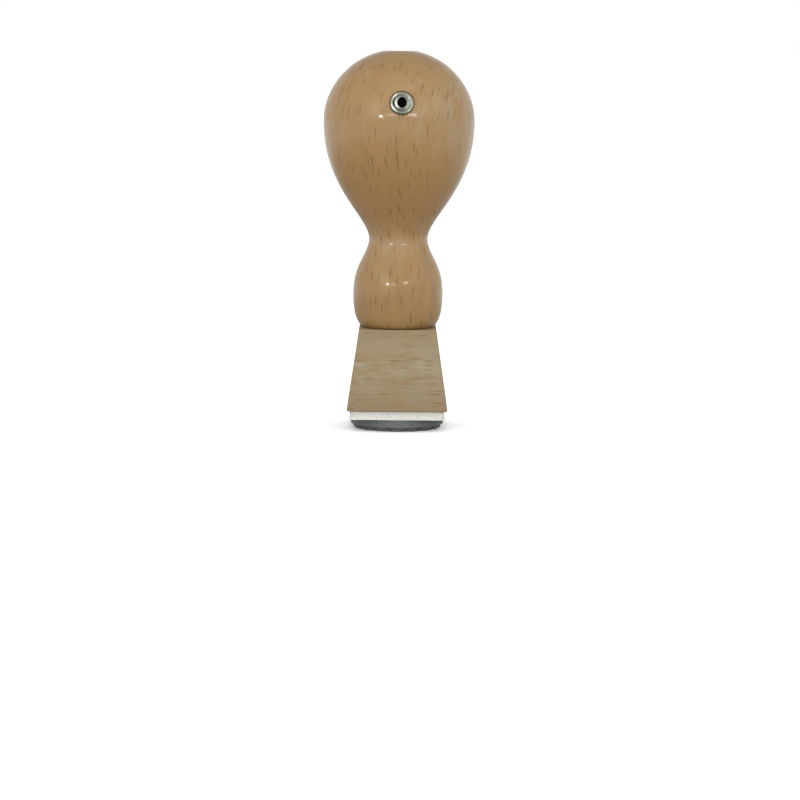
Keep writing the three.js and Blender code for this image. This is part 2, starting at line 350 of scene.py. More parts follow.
    def growth(self, add: Adder, wood: Node, face_on: Node) -> Node:
        """Draws the growth rings: each darkens slowly and ends sharply, on a wide bow through the piece.

        Args:
            add: adds a node to the material.
            wood: coordinates in mm across, into and along the grain.
            face_on: how far the surface faces into the grain; flat-sawn faces hardly show their rings.

        Returns:
            The node that gives how dark the rings are.
        """
        axes = add("SeparateXYZ", wood)
        wobble = add("TexNoise", wood, Scale=0.12, Detail=2.0)
        squared = add("Math.POWER", axes.outputs["X"], 2.0)
        bowed = add("Math.MULTIPLY_ADD", squared, self.ring_bow, axes.outputs["Y"])
        years = add("Math.DIVIDE", add("Math.MULTIPLY_ADD", wobble, 1.2, bowed), self.ring_pitch)
        season = add("Math.FRACT", years)
        late = add("MapRange.SMOOTHSTEP", season, 0.35, 0.95, 0.0, self.ring_strength)
        return add("Math.MULTIPLY", late, add("MapRange", face_on, 0.3, 0.95, 1.0, 0.25))

    def cells(
        self, add: Adder, wood: Node, cell: Triple, share: float, core: float, rim: float
    ) -> tuple[Node, NodeSocket]:
        """Scatters spindles, one to a cell, in some of the cells.

        Args:
            add: adds a node to the material.
            wood: coordinates in mm across, into and along the grain.
            cell: the cell's size in mm, in that order.
            share: the share of the cells that hold a spindle.
            core: how far the full tone reaches from a spindle's middle, as a share of the cell.
            rim: where the spindle has faded out.

        Returns:
            The node that gives the spindles as a mask, and a number from 0 to 1 that differs between them.
        """
        finer = [1 / size for size in cell]
        scaled = add("VectorMath.MULTIPLY_ADD", wood, finer, (0.0, 0.0, self.board_end))
        scatter = add("TexVoronoi.F1", scaled, Scale=1.0)
        chance = add("SeparateColor", scatter.outputs["Color"])
        present = add("Math.LESS_THAN", chance.outputs[0], share)
        reach = add("MapRange", chance.outputs[2], 0.0, 1.0, 0.5 * rim, rim)
        inner = add("Math.MULTIPLY", reach, core / rim)
        spindle = add("MapRange.SMOOTHSTEP", scatter.outputs["Distance"], inner, reach, 1.0, 0.0)
        return add("Math.MULTIPLY", spindle, present), chance.outputs[1]


@dataclass(frozen=True)
class LacqueredBeech(Beech):
    """Beech turned smooth, stained by steaming and dipped in clear gloss lacquer: deep colour, hard shine."""

    coat_ior: float = 1.5
    ripple: float = 0.006  # mm, the lacquer's faint unevenness from dipping

    def material(self) -> Material:
        """Makes the material.

        Returns:
            It.
        """
        material, add, shader, place = blank_material(self.name)
        colour, height = self.figure(add, place)
        wave = add("TexNoise", place, Scale=0.22, Detail=0.0)
        surface = {
            "Base Color": colour,
            "Roughness": 0.62,
            "Specular IOR Level": 0.12,  # most of the shine is the lacquer's
            "Normal": add("Bump", Height=height, Distance=0.02 * MM, Strength=0.5),
            "Coat Weight": 1.0,
            "Coat Roughness": 0.1,
            "Coat IOR": self.coat_ior,
            "Coat Normal": add("Bump", Height=wave, Distance=self.ripple * MM, Strength=1.0),
        }
        fill_sockets(shader, surface)
        return material


@dataclass(frozen=True)
class SandedBeech(Beech):
    """Raw beech, planed and sanded along the grain with fine paper: pale, dry and matt, softly scratched."""

    scratch: Pair = (0.16, 5.0)  # mm wide and long: grit 150, drawn a little coarse

    def material(self) -> Material:
        """Makes the material.

        Returns:
            It.
        """
        material, add, shader, place = blank_material(self.name)
        colour, height = self.figure(add, place)
        width, length = self.scratch
        drawn = add("VectorMath.MULTIPLY", place, (1 / length, 1 / width, 1 / width))
        scratches = add("TexNoise", drawn, Scale=1.0, Detail=3.0, Roughness=0.7)
        both = add("Math.ADD", height, scratches)
        surface = {
            "Base Color": add("Mix.RGBA", 0.09, colour, scratches, blend_type="OVERLAY"),
            "Roughness": 0.78,
            "Specular IOR Level": 0.3,
            "Normal": add("Bump", Height=both, Distance=0.03 * MM, Strength=0.6),
        }
        fill_sockets(shader, surface)
        return material


@dataclass(frozen=True)
class NickelPlate:
    """Nickel-plated brass, deep drawn: a greenish grey mirror, with painted highlights and painted black
    shade in places.
    """

    name: str = "nickel_plated_brass_drawn"
    bright: str = "#B4B7A6"
    dull: str = "#93988A"
    painted_highlight: str = "#F7F5EC"
    painted_shade: str = "#1B1D22"
    painted_light_name: ClassVar[str] = "painted_light"  # from -1, a painted highlight, to 1, painted black shade

    def material(self) -> Material:
        """Makes the material.

        Returns:
            It.
        """
        material, add, shader, place = blank_material(self.name)
        film = add("TexNoise", place, Scale=0.9, Detail=4.0)
        dulled = add("MapRange", film, 0.4, 0.65)
        # painted highlights and painted black shade, read from the eyelet's attribute
        shaded_share = add("Attribute", attribute_name=self.painted_light_name).outputs["Fac"]
        highlighted_share = add("Math.MULTIPLY", shaded_share, -1.0)
        plain = add("Mix.RGBA", dulled, self.bright, self.dull)
        surface = {
            "Base Color": add("Mix.RGBA", shaded_share, add("Mix.RGBA", highlighted_share, plain, self.painted_highlight), self.painted_shade),
            "Roughness": add("MapRange", film, 0.0, 1.0, 0.1, 0.24),
            "Metallic": 1.0,
        }
        fill_sockets(shader, surface)
        return material


@dataclass(frozen=True)
class ZincPlate:
    """Steel wire, rolled into a thread and zinc plated: a cool, slightly cloudy grey shine."""

    name: str = "zinc_plated_steel_rolled"
    clean: str = "#B9BEC2"
    cloudy: str = "#989C98"

    def material(self) -> Material:
        """Makes the material.

        Returns:
            It.
        """
        material, add, shader, place = blank_material(self.name)
        cloud = add("TexNoise", place, Scale=0.6, Detail=5.0)
        surface = {
            "Base Color": add("Mix.RGBA", cloud, self.clean, self.cloudy),
            "Roughness": add("MapRange", cloud, 0.0, 1.0, 0.28, 0.45),
            "Metallic": 1.0,
        }
        fill_sockets(shader, surface)
        return material


@dataclass(frozen=True)
class CutFoam:
    """White closed-cell polyethylene foam, knife-cut: chalky walls of tiny cells, open at the cut edges."""

    name: str = "closed_cell_foam_cut"
    wall: str = "#EDEBE4"
    cell_shade: str = "#BFBDB6"
    cell: float = 0.3  # mm across one cell

    def material(self) -> Material:
        """Makes the material.

        Returns:
            It.
        """
        material, add, shader, place = blank_material(self.name)
        cells = add("TexVoronoi.SMOOTH_F1", place, Scale=1 / self.cell)
        hollow = add("MapRange", cells, 0.1, 0.55, 0.55, 0.0)
        surface = {
            "Base Color": add("Mix.RGBA", hollow, self.wall, self.cell_shade),
            "Normal": add("Bump", Height=cells, Distance=0.08 * MM, Strength=0.7),
            "Roughness": 0.9,
            "Specular IOR Level": 0.25,
        }
        fill_sockets(shader, surface)
        return material


@dataclass(frozen=True)
class AdhesiveFilm:
    """Clear acrylic transfer adhesive, die-cut: a thin, slightly yellow and milky layer with a soft shine."""

    name: str = "acrylic_adhesive_die_cut"
    tone: str = "#DAD5BF"
    haze: str = "#C6C1AB"

    def material(self) -> Material:
        """Makes the material.

        Returns:
            It.
        """
        material, add, shader, place = blank_material(self.name)
        streak = add("TexNoise", place, Scale=0.8, Detail=3.0)
        surface = {
            "Base Color": add("Mix.RGBA", streak, self.tone, self.haze),
            "Roughness": 0.32,
            "Transmission Weight": 0.35,
            "IOR": 1.47,
        }
        fill_sockets(shader, surface)
        return material


@dataclass(frozen=True)
class EngravedRubber:
    """Grey natural rubber, engraved by laser and inked: matt and dusty, with dry black ink on what prints."""

    name: str = "natural_rubber_laser_engraved"
    rubber: str = "#7C7F82"
    soot: str = "#5E6062"
    ink: str = "#15161B"
    ink_depth: float = 0.16  # mm that ink creeps up the shoulders from the printing face
    groove: float = 0.24  # mm between the laser's passes, drawn coarser than the real 0.1 so that it shows

    def material(self) -> Material:
        """Makes the material.

        Returns:
            It.
        """
        material, add, shader, place = blank_material(self.name)
        axes = add("SeparateXYZ", place)
        patch = add("TexNoise", place, Scale=1.7, Detail=4.0)
        edge = add("Math.MULTIPLY", patch, self.ink_depth)
        inky = add("MapRange.SMOOTHSTEP", axes.outputs["Z"], edge, self.ink_depth, 0.94, 0.0)
        grooves = add("Math.SINE", add("Math.MULTIPLY", axes.outputs["Y"], tau / self.groove))
        rough = add("Math.MULTIPLY_ADD", grooves, 0.4, patch)
        engraved = add("Math.MULTIPLY", rough, add("MapRange", axes.outputs["Z"], 0.3, 0.7))
        surface = {
            "Base Color": add("Mix.RGBA", inky, add("Mix.RGBA", patch, self.rubber, self.soot), self.ink),
            "Normal": add("Bump", Height=engraved, Distance=0.05 * MM, Strength=0.6),
            "Roughness": 0.7,
            "Specular IOR Level": 0.35,
        }
        fill_sockets(shader, surface)
        return material


Finish = LacqueredBeech | SandedBeech | NickelPlate | ZincPlate | CutFoam | AdhesiveFilm | EngravedRubber

TURNED_BEECH = LacqueredBeech(
    name="beech_turned_gloss_lacquer",
    grain=Grain.UP_THE_HANDLE,
    base="#B29266",
    dark="#A28153",
    warm="#AB824D",
    end_grain="#9B7B51",
    fleck="#7D592B",
    red_fleck="#8F5934",
    fleck_share=0.75,
    fleck_strength=0.68,
    light_and_tone_stretches=(  # direction, middle, reach, tone, strength
        # painted light: the right side paler, where more light falls on it
        Stretch(Run.ACROSS, 15.0, 15.0, "#AB9773"),
        # painted shade: the left side darker and warmer
        Stretch(Run.ACROSS, -16.0, 9.0, "#AE8B5C", 0.8),
        # painted shade: the underside of the ball darker and warmer, facing away from the light
        Stretch(Run.ALONG, 47.5, 15.0, "#A9804E"),
        # painted sheen: the neck paler, as if it reflected the room
        Stretch(Run.ALONG, 38.0, 5.5, "#B29874", 0.7),
        # painted shade: the bulb darker, as it gets less light from above
        Stretch(Run.ALONG, 27.5, 9.0, "#9C7B50"),
    ),
    wander=3.9,
    board_end=11.0,
)
RAW_BEECH = SandedBeech(
    name="beech_sanded",
    grain=Grain.ACROSS_THE_MOUNT,
    base="#A29073",
    dark="#998569",
    warm="#A18863",
    end_grain="#927D60",
    fleck="#866D3F",
    red_fleck="#926340",
    fleck_share=0.5,
    fleck_strength=0.78,
    light_and_tone_stretches=(  # direction, middle, reach, tone, strength
        # painted light: the middle of the mount's height paler than its top and foot, which lie in shade
        Stretch(Run.ACROSS, 12.6, 8.5, "#ABA084"),
        Stretch(Run.ALONG, -14.0, 6.0, "#A18A66"),
        # darker towards the bottom edge
        Stretch(Run.ACROSS, 4.2, 2.4, "#9F8763", 0.7),
    ),
    cell=(0.46, 3.4, 4.4),
    long_cell=(0.6, 3.4, 6.8),
)


# Drawing


def ring(radius: float, height: float, segments: int) -> Points:
    """Places points round a circle about +Z.

    Args:
        radius: in mm; at 0 the circle is a single point.
        height: in mm.
        segments: how many points.

    Returns:
        The points, anticlockwise from above.
    """
    if radius == 0:
        return [Vector((0, 0, height))]
    angles = (tau * step / segments for step in range(segments))
    return [Vector((radius * cos(a), radius * sin(a), height)) for a in angles]


def skin(shape: BMesh, rings: Sequence[Points], looped: bool = False) -> list[list]:
    """Stretches faces over a stack of rings.

    Args:
        shape: what the faces are added to.
        rings: points in mm; all rings have the same count, except that one point is a tip.
        looped: whether the last ring joins the first one.

    Returns:
        The new vertices, ring by ring.
    """
    rows = [[shape.verts.new(point) for point in points] for points in rings]
    count = max(len(row) for row in rows)
    for low, high in zip(rows, rows[1:] + rows[: int(looped)]):
        for at in range(count):
            after = (at + 1) % count
            sides = ((low, at), (low, after), (high, after), (high, at))
            shape.faces.new(list(dict.fromkeys(row[place % len(row)] for row, place in sides)))
    return rows


def turned(outline: Outline, segments: int, looped: bool = False) -> BMesh:
    """Turns an outline about +Z.

    Args:
        outline: (radius, height) in mm, running upwards on the outside.
        segments: round the axis.
        looped: whether the outline's end joins its start.

    Returns:
        The turned shape.
    """
    shape = bmesh.new()
    skin(shape, [ring(radius, height, segments) for radius, height in outline], looped)
    return shape


def stacked(rings: Sequence[Points]) -> BMesh:
    """Skins a stack of rings and closes it with a face at each end.

    Args:
        rings: points in mm, from the lowest ring up.

    Returns:
        The closed shape.
    """
    shape = bmesh.new()
    rows = skin(shape, rings)
    for end in (rows[0], rows[-1]):
        shape.faces.new(end)
    return shape


def solid(name: str, shape: BMesh, crease: float = 28.0) -> Object:
    """Makes an object of a closed shape, smooth except over its creases.

    Args:
        name: the object's name.
        shape: drawn in mm; it is used up.
        crease: in degrees, the bend above which an edge looks sharp.

    Returns:
        The object, in metres, at the origin.
    """
    bmesh.ops.recalc_face_normals(shape, faces=shape.faces)
    bmesh.ops.scale(shape, vec=(MM, MM, MM), verts=shape.verts)
    mesh = bpy.data.meshes.new(name)
    shape.to_mesh(mesh)
    shape.free()
    mesh.shade_smooth()
    mesh.set_sharp_from_angle(angle=radians(crease))
    made = bpy.data.objects.new(name, mesh)
    bpy.context.scene.collection.objects.link(made)
    return made


def carve(body: Object, cutters: Sequence[Object], crease: float = 28.0) -> None:
    """Cuts shapes out of an object and clears them away.

    Args:
        body: what is cut.
        cutters: the shapes, which are removed afterwards.
        crease: in degrees, the bend above which an edge looks sharp.
    """
    for cutter in cutters:
        cut = body.modifiers.new("cut", "BOOLEAN")
        cut.operation, cut.solver, cut.object = "DIFFERENCE", "EXACT", cutter
    bpy.context.view_layer.update()
    whole = body.data
    body.data = bpy.data.meshes.new_from_object(body.evaluated_get(bpy.context.evaluated_depsgraph_get()))
    body.modifiers.clear()
    body.data.name = whole.name
    body.data.shade_smooth()
    body.data.set_sharp_from_angle(angle=radians(crease))
    bpy.data.meshes.remove(whole)
    for cutter in cutters:
        bpy.data.objects.remove(cutter)


def drill(name: str, radius: float, depth: float, point_angle: float = 59.0) -> Object:
    """Makes a drill, with its mouth at height 0, pointing down.

    Args:
        name: the object's name.
        radius: in mm.
        depth: in mm, to where its point begins.
        point_angle: half the angle of its point, in degrees.

    Returns:
        The drill, which stands a little above the mouth so that it cuts clean.
    """
    tip, above = -depth - radius / tan(radians(point_angle)), 2 * radius
    return solid(name, turned([(0, tip), (radius, -depth), (radius, above), (0, above)], HOLE_ROUND))


def bezier(points: Sequence[Pair], steps: int) -> Outline:
    """Follows a cubic curve.

    Args:
        points: its two ends and, between them, its two pulls.
        steps: along the curve.

    Returns:
        The curve's points, both ends among them.
    """
    start, pull_a, pull_b, end = (Vector(point) for point in points)
    followed = []
    for step in range(steps + 1):
        t = step / steps
        u = 1 - t
        followed.append(tuple(u**3 * start + 3 * u * u * t * pull_a + 3 * u * t * t * pull_b + t**3 * end))
    return followed


def arc(middle: float, half: float, crest: float, start: float, end: float, steps: int = 18) -> Outline:
    """Follows part of an ellipse that stands on the height 0.

    Args:
        middle: radius of its centre.
        half: its half width.
        crest: its height.
        start: the angle that it starts from, in radians, 0 being its outer end.
        end: the angle that it goes to.
        steps: along it.

    Returns:
        The arc's points, both ends among them.
    """
    angles = (start + (end - start) * step / steps for step in range(steps + 1))
    return [(middle + half * cos(angle), crest * sin(angle)) for angle in angles]


def rounded_square(
    side: float, radius: float, height: float, steps: int, drawn_in: Callable[[], float] | None = None
) -> Points:
    """Places points round a square with rounded corners.

    Args:
        side: in mm.
        radius: of the corners, in mm.
        height: in mm.
        steps: along each corner; each side has three times as many.
        drawn_in: gives how far the next point is drawn in, in mm.

    Returns:
        The points, anticlockwise from above.
    """
    placed = []
    for corner in range(4):
        quarter = Matrix.Rotation(corner * pi / 2, 2)
        turns = [(step / steps, 0.0) for step in range(steps + 1)]
        turns += [(1.0, step / (3 * steps)) for step in range(1, 3 * steps)]
        for share, along in turns:
            angle = pi / 2 * share
            out = Vector((cos(angle), sin(angle)))
            half = side / 2 - radius
            reach = radius - (drawn_in() if drawn_in else 0.0)
            point = Vector((half * (1 - 2 * along), half)) + reach * out
            placed.append(Vector((*(quarter @ point), height)))
    return placed


def dress(piece: Object, finish: Finish, body: Body, node: str) -> Object:
    """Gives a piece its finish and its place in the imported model.

    Args:
        piece: the object.
        finish: what it is made of.
        body: the body that it rides on.
        node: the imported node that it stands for.

    Returns:
        The same object.
    """
    piece.data.materials.clear()
    piece.data.materials.append(finish.material())
    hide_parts(node)
    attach(piece, body.value)
    log.info("%s: %s, on body %s, for %s", piece.name, finish.name, body.value, node)
    return piece


def span_of(node: str) -> Pair:
    """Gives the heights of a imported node's underside and top, in mm."""
    return tuple(corner.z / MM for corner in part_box(node))


# Sub-assemblies


@dataclass(frozen=True)
class PaintedLightSpot:
    """A spot of painted highlight or painted shade on a round piece, in its own frame. It fades from its
    middle.
    """

    turn: float  # degrees round the axis, 0 being to the right and 90 up
    spread: float  # degrees to either side
    radius: float  # mm
    reach: float  # mm inwards and outwards
    amount: float  # -1 is a painted highlight, 1 is painted black shade

    def at(self, place: Vector) -> float:
        """Says how strong it is.

        Args:
            place: in mm.

        Returns:
            Its amount there, 0 outside it.
        """
        off = abs((degrees(atan2(place.y, place.x)) - self.turn + 180) % 360 - 180)
        inwards = abs(place.xy.length - self.radius)
        overfull = 1.6  # so that the spot's middle has its full amount
        strength = overfull * max(0.0, 1 - off / self.spread) * max(0.0, 1 - inwards / self.reach)
        return self.amount * min(1.0, strength)


@dataclass
class HandleAssembly:
    """The turned handle with its front mark and the screw in its foot. Heights are from the foot, in mm."""

    height: float = 55.0
    crown_flat: float = 3.3  # radius
    crown_ease: float = 0.35  # how far the lacquer rounds the crown's edge
    ball_radius: float = 15.1
    ball_height: float = 41.0
    neck_radius: float = 5.9
    neck_height: float = 17.7
    bulb_radius: float = 9.0
    bulb_height: float = 7.0
    foot_radius: float = 6.8
    foot_round: Pair = (8.85, 0.8)  # what the foot's curve aims at
    bulb_down_pull: float = 0.3
    bulb_up_pull: float = 0.532
    neck_down_pull: float = 0.281
    neck_up_pull: float = 0.185
    ball_pull: float = 0.576
    turn: float = 2.1  # degrees past square
    mark_rise: float = 4.1  # of the mark above the ball's widest point
    mark_sink: float = 0.35
    mark_bore: float = 0.8
    mark_sheet: float = 0.2
    mark_flange: float = 2.37
    mark_collar: float = 0.5  # crest of the flange's outer bead
    mark_lip: float = 0.64  # crest of the lip round the bore
    mark_lip_radius: float = 1.0  # of that crest
    mark_groove: Pair = (1.6, 0.24)  # radius and height between collar and lip
    mark_length: float = 5.0
    mark_clearance: float = 0.13
    mark_painted_light: tuple[PaintedLightSpot, ...] = (
        # turn, spread, radius, reach, amount
        PaintedLightSpot(90, 80, 0.95, 0.3, 1.0),  # painted black shade over and under the bore
        PaintedLightSpot(270, 80, 0.95, 0.3, 1.0),
        PaintedLightSpot(178, 34, 1.66, 0.22, 1.0),  # and painted shade in the groove, on the left side
        PaintedLightSpot(180, 85, 1.2, 0.36, -1.0),  # a painted highlight on the lip's left side
        PaintedLightSpot(134, 34, 2.05, 0.24, -1.0),  # two painted highlights on the collar
        PaintedLightSpot(214, 36, 2.05, 0.24, -1.0),
        PaintedLightSpot(0, 130, 1.55, 0.3, -0.45),  # and a fainter painted highlight over its right side
    )
    screw_radius: float = 2.0
    screw_core: float = 1.35
    screw_up: float = 14.0
    screw_down: float = 11.0
    screw_point: float = 3.0
    screw_clearance: float = 0.1
    thread_pitch: float = 1.8
    thread_ridge: float = 0.26  # half the ridge's width, in pitches
    thread_sides: int = 36  # round the screw
    thread_levels: int = 12  # per turn
    painted_shade_depth: float = 0.4  # into the bore, to where its painted shade is black
    curve_steps: int = 30

    def outline(self) -> Outline:
        """Draws the handle's outline.

        Returns:
            It, from the foot's centre up to the crown's centre.
        """
        rise, drop = self.ball_height - self.neck_height, self.neck_height - self.bulb_height
        foot, bulb = (self.foot_radius, 0.0), (self.bulb_radius, self.bulb_height)
        neck, ball = (self.neck_radius, self.neck_height), (self.ball_radius, self.ball_height)
        bulb_under = (bulb[0], bulb[1] * (1 - self.bulb_down_pull))
        bulb_over, neck_under = bulb[1] + self.bulb_up_pull * drop, neck[1] - self.neck_down_pull * drop
        neck_over, ball_under = neck[1] + self.neck_up_pull * rise, ball[1] - self.ball_pull * rise
        curves = (
            (foot, self.foot_round, bulb_under, bulb),
            (bulb, (bulb[0], bulb_over), (neck[0], neck_under), neck),
            (neck, (neck[0], neck_over), (ball[0], ball_under), ball),
        )
        drawn: Outline = [(0.0, 0.0)]
        for curve in curves:
            drawn += bezier(curve, self.curve_steps)[0 if len(drawn) == 1 else 1 :]
        edge_angle = acos(self.crown_flat / self.ball_radius)
        for step in range(1, self.curve_steps):
            angle = edge_angle * step / self.curve_steps
            height = self.ball_height + self.crown_axis * sin(angle)
            drawn.append((self.ball_radius * cos(angle), height))
        slope = self.crown_axis * cos(edge_angle) / (self.ball_radius * sin(edge_angle))
        edge = (self.crown_flat, self.height)
        below = (edge[0] + self.crown_ease, edge[1] - self.crown_ease * slope)
        inside = (edge[0] - self.crown_ease, edge[1])
        drawn += bezier((below, edge, edge, inside), 6)
        return drawn + [(0.6 * self.crown_flat, self.height), (0.0, self.height)]

    @property
    def crown_axis(self) -> float:
        """The half height of the ellipse that the upper ball follows."""
        return (self.height - self.ball_height) / sin(acos(self.crown_flat / self.ball_radius))

    def foot_frame(self) -> Matrix:
        """Places the handle on its mount: turned a little past square, on the foot's plane."""
        turn = Matrix.Rotation(radians(self.turn), 4, "Z")
        return Matrix.Translation((0, 0, span_of("handle")[0] * MM)) @ turn

    def mark_frame(self) -> Matrix:
        """Places the mark's seat: square to the ball, facing the front.

        Returns:
            Its place in the handle's frame, in metres.
        """
        angle = asin(self.mark_rise / self.crown_axis)
        normal = Vector((0, -cos(angle) / self.ball_radius, sin(angle) / self.crown_axis)).normalized()
        surface = Vector((0, -self.ball_radius * cos(angle), self.ball_height + self.mark_rise))
        seat = (surface - self.mark_sink * normal) * MM
        return Matrix.Translation(seat) @ Vector((0, 0, 1)).rotation_difference(normal).to_matrix().to_4x4()

    def smooth_outside(self, mesh: Mesh) -> None:
        """Shades the outside by the outline's own slope, so that the holes don't disturb its shine.

        Args:
            mesh: the carved handle, in metres, still in its own frame.
        """
        near, alike = 0.05, 0.985  # mm off the outline, and how well a face's own normal has to agree
        outline = [point for point in self.outline() if point[0] > 0]
        radii, heights = zip(*outline[1:-1])
        slopes = [
            Vector((after[1] - before[1], before[0] - after[0])).normalized()
            for before, after in zip(outline, outline[2:])
        ]
        normals = [Vector(corner.vector) for corner in mesh.corner_normals]
        for face in mesh.polygons:
            for at in face.loop_indices:
                place = mesh.vertices[mesh.loops[at].vertex_index].co / MM
                level = min(max(bisect_right(heights, place.z), 1), len(heights) - 1)
                span = heights[level] - heights[level - 1]
                share = min(max((place.z - heights[level - 1]) / span, 0), 1) if span > 1e-6 else 0
                lean = slopes[level - 1].lerp(slopes[level], share)
                radius = radii[level - 1] + share * (radii[level] - radii[level - 1])
                out = Vector(place.xy)
                if out.length < 1.0 or abs(out.length - radius) > near:
                    continue
                out.normalize()
                ideal = Vector((out.x * lean.x, out.y * lean.x, lean.y)).normalized()
                if ideal.dot(face.normal) > alike:
                    normals[at] = ideal
        mesh.normals_split_custom_set(normals)

    def build_handle(self) -> Object:
        """Turns the handle, then cuts the mark's seat and hole and the screw's hole.

        Returns:
            The handle.
        """
        handle = solid("turned_handle", turned(self.outline(), FINE_ROUND))
        seat_radius = self.mark_flange + self.mark_clearance
        low, high = -self.mark_clearance, self.mark_flange
        seat = [(0, low), (seat_radius, low), (seat_radius, high), (0, high)]
        pocket = solid("pocket", turned(seat, ROUND))
        barrel = self.mark_bore + self.mark_sheet + self.mark_clearance
        mark_hole = drill("mark_hole", barrel, self.mark_length + self.mark_clearance)
        screw_hole = drill("screw_hole", self.screw_radius + self.screw_clearance, self.screw_up)
        pocket.matrix_world = mark_hole.matrix_world = self.mark_frame()
        screw_hole.matrix_world = Matrix.Rotation(pi, 4, "X")
        carve(handle, [pocket, mark_hole, screw_hole])
        self.smooth_outside(handle.data)
        handle.data.transform(self.foot_frame())
        return handle

    def painted_light_at(self, place: Vector) -> float:
        """Says how much painted highlight or painted shade the mark has. Its bore is painted black as shade.

        Args:
            place: in mm, in the mark's own frame.

        Returns:
            From -1, a painted highlight, to 1, painted black shade.
        """
        if place.z < 0:
            return min(1.0, -place.z / self.painted_shade_depth)
        return min(max(sum(spot.at(place) for spot in self.mark_painted_light), -1.0), 1.0)

    def build_mark(self) -> Object:
        """Draws the eyelet: up its barrel, under the hollow collar, over collar and lip, and down the bore.

        Returns:
            The eyelet.
        """
        groove, low = self.mark_groove
        collar_turn, lip_turn = asin(low / self.mark_collar), asin(low / self.mark_lip)
        collar = (self.mark_flange - groove) / (1 + cos(collar_turn))
        crest = self.mark_lip_radius
        middle = self.mark_flange - collar
        under = arc(middle, collar - self.mark_sheet, self.mark_collar - self.mark_sheet, pi, 0)
        over = arc(middle, collar, self.mark_collar, 0, pi - collar_turn)
        up_lip = arc(crest, (groove - crest) / cos(lip_turn), self.mark_lip, lip_turn, pi / 2)
        into_bore = arc(crest, crest - self.mark_bore, self.mark_lip, pi / 2, pi)
        # the groove is pressed, so its bottom is a small round and not a crease
        pressed = bezier((over[-3], over[-1], up_lip[0], up_lip[2]), 6)
        steps = 8
        barrel = [self.mark_length * step / steps for step in range(1, steps + 1)]
        inside = [(self.mark_bore, -depth) for depth in barrel]
        outside = [(self.mark_bore + self.mark_sheet, -depth) for depth in [*reversed(barrel), 0.0]]
        outline = [*outside, *under, *over[:-3], *pressed, *up_lip[3:], *into_bore[1:], *inside]
        mark = solid("drawn_eyelet", turned(outline, ROUND, looped=True), crease=60)
        # painted highlights and painted shade on the eyelet, kept as a point attribute
        painted_light = mark.data.attributes.new(NickelPlate.painted_light_name, "FLOAT", "POINT")
        painted_light.data.foreach_set("value", [self.painted_light_at(vertex.co / MM) for vertex in mark.data.vertices])
        mark.data.transform(self.foot_frame() @ self.mark_frame())
        return mark

    def build_screw(self) -> Object:
        """Rolls the thread: a sharp ridge that winds up a core, with both tapering to a point at each end.

        Returns:
            The screw.
        """
        count = round(self.thread_levels * (self.screw_up + self.screw_down) / self.thread_pitch)
        sides = self.thread_sides
        rings = []
        for level in range(count + 1):
            height = -self.screw_down + (self.screw_up + self.screw_down) * level / count
            to_tip = min(height + self.screw_down, self.screw_up - height)
            envelope = min(1.0, max(to_tip, 0.02) / self.screw_point)
            points = []
            for side in range(sides):
                winding = (height / self.thread_pitch - side / sides) % 1
                ridge = max(0.0, 1 - abs(winding - 0.5) / self.thread_ridge)
                radius = envelope * (self.screw_core + (self.screw_radius - self.screw_core) * ridge)
                angle = tau * side / sides
                points.append(Vector((radius * cos(angle), radius * sin(angle), height)))
            rings.append(points)
        screw = solid("threaded_dowel_screw", stacked(rings), crease=50)
        screw.data.transform(self.foot_frame())
        return screw

    def build(self) -> None:
        """Builds and dresses the handle, its front mark and its screw."""
        dress(self.build_handle(), TURNED_BEECH, Body.STAMP, "handle")
        dress(self.build_mark(), NickelPlate(), Body.STAMP, "front_mark_eyelet")
        dress(self.build_screw(), ZincPlate(), Body.STAMP, "dowel_screw")


@dataclass
class Mount:
    """The tapered beech mount under the handle. Sizes in mm."""

    base: float = 20.0
    top: float = 15.4
    ease: float = 0.15  # the edges are sanded over
    corner: float = 0.3
    screw_hole: float = 2.1
    screw_depth: float = 11.0

    def build(self) -> None:
        """Builds and dresses the mount."""
        low, high = span_of("mount_block")
        rings, steps = [], 4
        for side, height, inward in ((self.base, low, 1), (self.top, high, -1)):
            for step in range(steps + 1)[::inward]:
                turn = pi / 2 * step / steps
                cut, rise = self.ease * (1 - sin(turn)), self.ease * (1 - cos(turn))
                rings.append(rounded_square(side - 2 * cut, self.corner, height + inward * rise, 6))
        mount = solid("sanded_mount", stacked(rings))
        hole = drill("mount_hole", self.screw_hole, self.screw_depth)
        hole.matrix_world = Matrix.Translation((0, 0, high * MM))
        carve(mount, [hole])
        dress(mount, RAW_BEECH, Body.STAMP, "mount_block")


